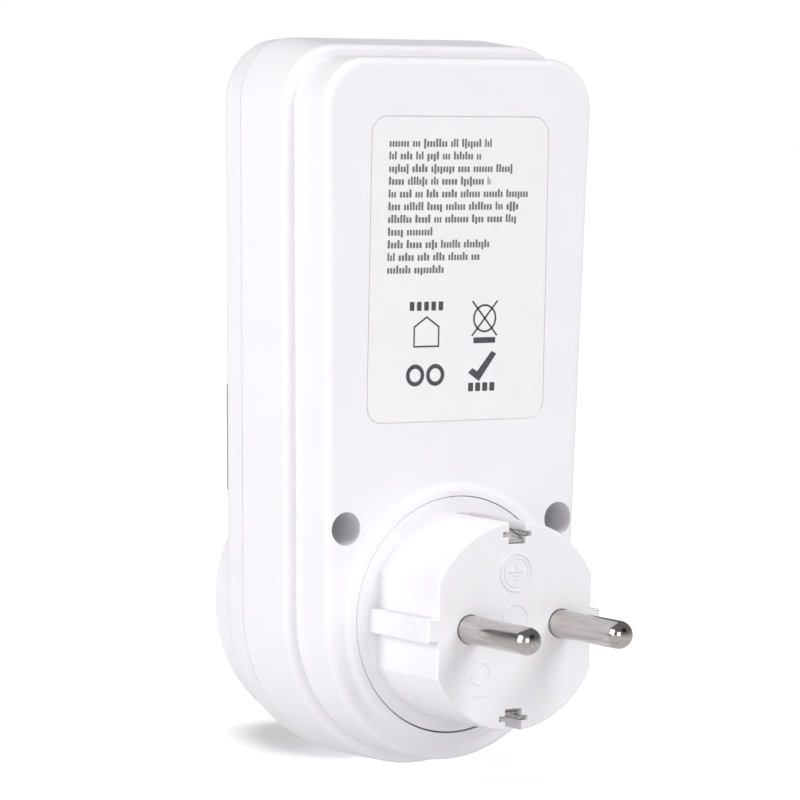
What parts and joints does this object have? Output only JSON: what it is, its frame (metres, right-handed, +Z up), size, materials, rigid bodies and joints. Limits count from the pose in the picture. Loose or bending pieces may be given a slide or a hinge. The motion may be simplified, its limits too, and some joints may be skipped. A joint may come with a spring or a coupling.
{
  "type": "plug-in power meter",
  "caption": "Tall white case with rounded lower end, mains plug at the back, socket with shutter at the front, display window and key row above it.",
  "frame": {"origin": "centre of the plug's end face, midway between the two pins", "axes": "+Y out of the back along the pins, -Y out of the front through display and socket, +Z up from the socket to the display, +X to the right of someone who looks at the display"},
  "size_m": [0.0604, 0.0766, 0.1271],
  "materials": {
    "case_plastic": "fine satin white",
    "label_film": "matte printed film",
    "window_plastic": "clear gloss",
    "keypad_film": "satin dark grey",
    "lcd_glass": "gloss grey-green",
    "reflector_plastic": "satin white",
    "zebra_rubber": "matte",
    "board_green": "solder mask",
    "board_brown": "phenolic",
    "black_plastic": "satin black",
    "key_plastic": "satin light grey",
    "reset_plastic": "satin red",
    "shutter_plastic": "satin orange",
    "nickel": "nickel plate",
    "spring_steel": "bright spring strip",
    "screw_steel": "zinc plate",
    "brass": "plain",
    "shunt_metal": "manganin strip",
    "film_box": "gloss",
    "capacitor_sleeve": "shrink sleeve",
    "varistor_coat": "epoxy coat",
    "resistor_coat": "flameproof coat",
    "ribbon": "flat cable",
    "cell_steel": "button cell",
    "crystal_can": "can"
  },
  "bodies": {
    "meter": {"front_cover": "case_plastic", "rear_housing": "case_plastic", "plug_insert": "case_plastic", "socket_well": "case_plastic", "rating_label": "label_film", "display_window": "window_plastic", "keypad_panel": "keypad_film", "lcd_panel": "lcd_glass", "lcd_reflector": "reflector_plastic", "lcd_holder": "reflector_plastic", "zebra_strips": "zebra_rubber", "display_board": "board_green", "power_board": "board_brown", "tact_switches": "black_plastic", "contact_carrier": "black_plastic", "battery_holder": "black_plastic", "metering_chip": "black_plastic", "controller_blob": "black_plastic", "pin_live": "nickel", "pin_neutral": "nickel", "plug_earth_clip": "spring_steel", "socket_earth_clip": "spring_steel", "shutter_spring": "spring_steel", "shutter_pivot": "spring_steel", "carrier_screws": "screw_steel", "housing_screws": "screw_steel", "display_board_screws": "screw_steel", "power_board_screws": "screw_steel", "contact_live": "brass", "contact_neutral": "brass", "live_feed": "brass", "earth_rivet": "brass", "shunt_strip": "shunt_metal", "film_capacitor": "film_box", "electrolytic_capacitor": "capacitor_sleeve", "varistor": "varistor_coat", "fuse_resistor": "resistor_coat", "board_ribbon": "ribbon", "backup_battery": "cell_steel", "crystal": "crystal_can"},
    "mode_key": {"key_mode": "key_plastic", "plunger_mode": "black_plastic"},
    "set_key": {"key_set": "key_plastic", "plunger_set": "black_plastic"},
    "down_key": {"key_down": "key_plastic", "plunger_down": "black_plastic"},
    "up_key": {"key_up": "key_plastic", "plunger_up": "black_plastic"},
    "reset_key": {"key_reset": "reset_plastic", "plunger_reset": "black_plastic"},
    "shutter": {"socket_shutter": "shutter_plastic"}
  },
  "joints": [
    {"name": "mode_key_press", "type": "slide", "parent": "meter", "child": "mode_key", "axis": [0, 1, 0], "range_m": [0, 0.00035], "stiffness_N_per_m": 300, "springref_m": -0.001},
    {"name": "set_key_press", "type": "slide", "parent": "meter", "child": "set_key", "axis": [0, 1, 0], "range_m": [0, 0.00035], "stiffness_N_per_m": 300, "springref_m": -0.001},
    {"name": "down_key_press", "type": "slide", "parent": "meter", "child": "down_key", "axis": [0, 1, 0], "range_m": [0, 0.00035], "stiffness_N_per_m": 300, "springref_m": -0.001},
    {"name": "up_key_press", "type": "slide", "parent": "meter", "child": "up_key", "axis": [0, 1, 0], "range_m": [0, 0.00035], "stiffness_N_per_m": 300, "springref_m": -0.001},
    {"name": "reset_key_press", "type": "slide", "parent": "meter", "child": "reset_key", "axis": [0, 1, 0], "range_m": [0, 0.00035], "stiffness_N_per_m": 300, "springref_m": -0.001},
    {"name": "shutter_turn", "type": "hinge", "parent": "meter", "child": "shutter", "pos_m": [0, -0.0368, 0], "axis": [0, 1, 0], "range_deg": [0, 38], "stiffness_Nm_per_rad": 0.002, "springref_deg": -20.05}
  ]
}
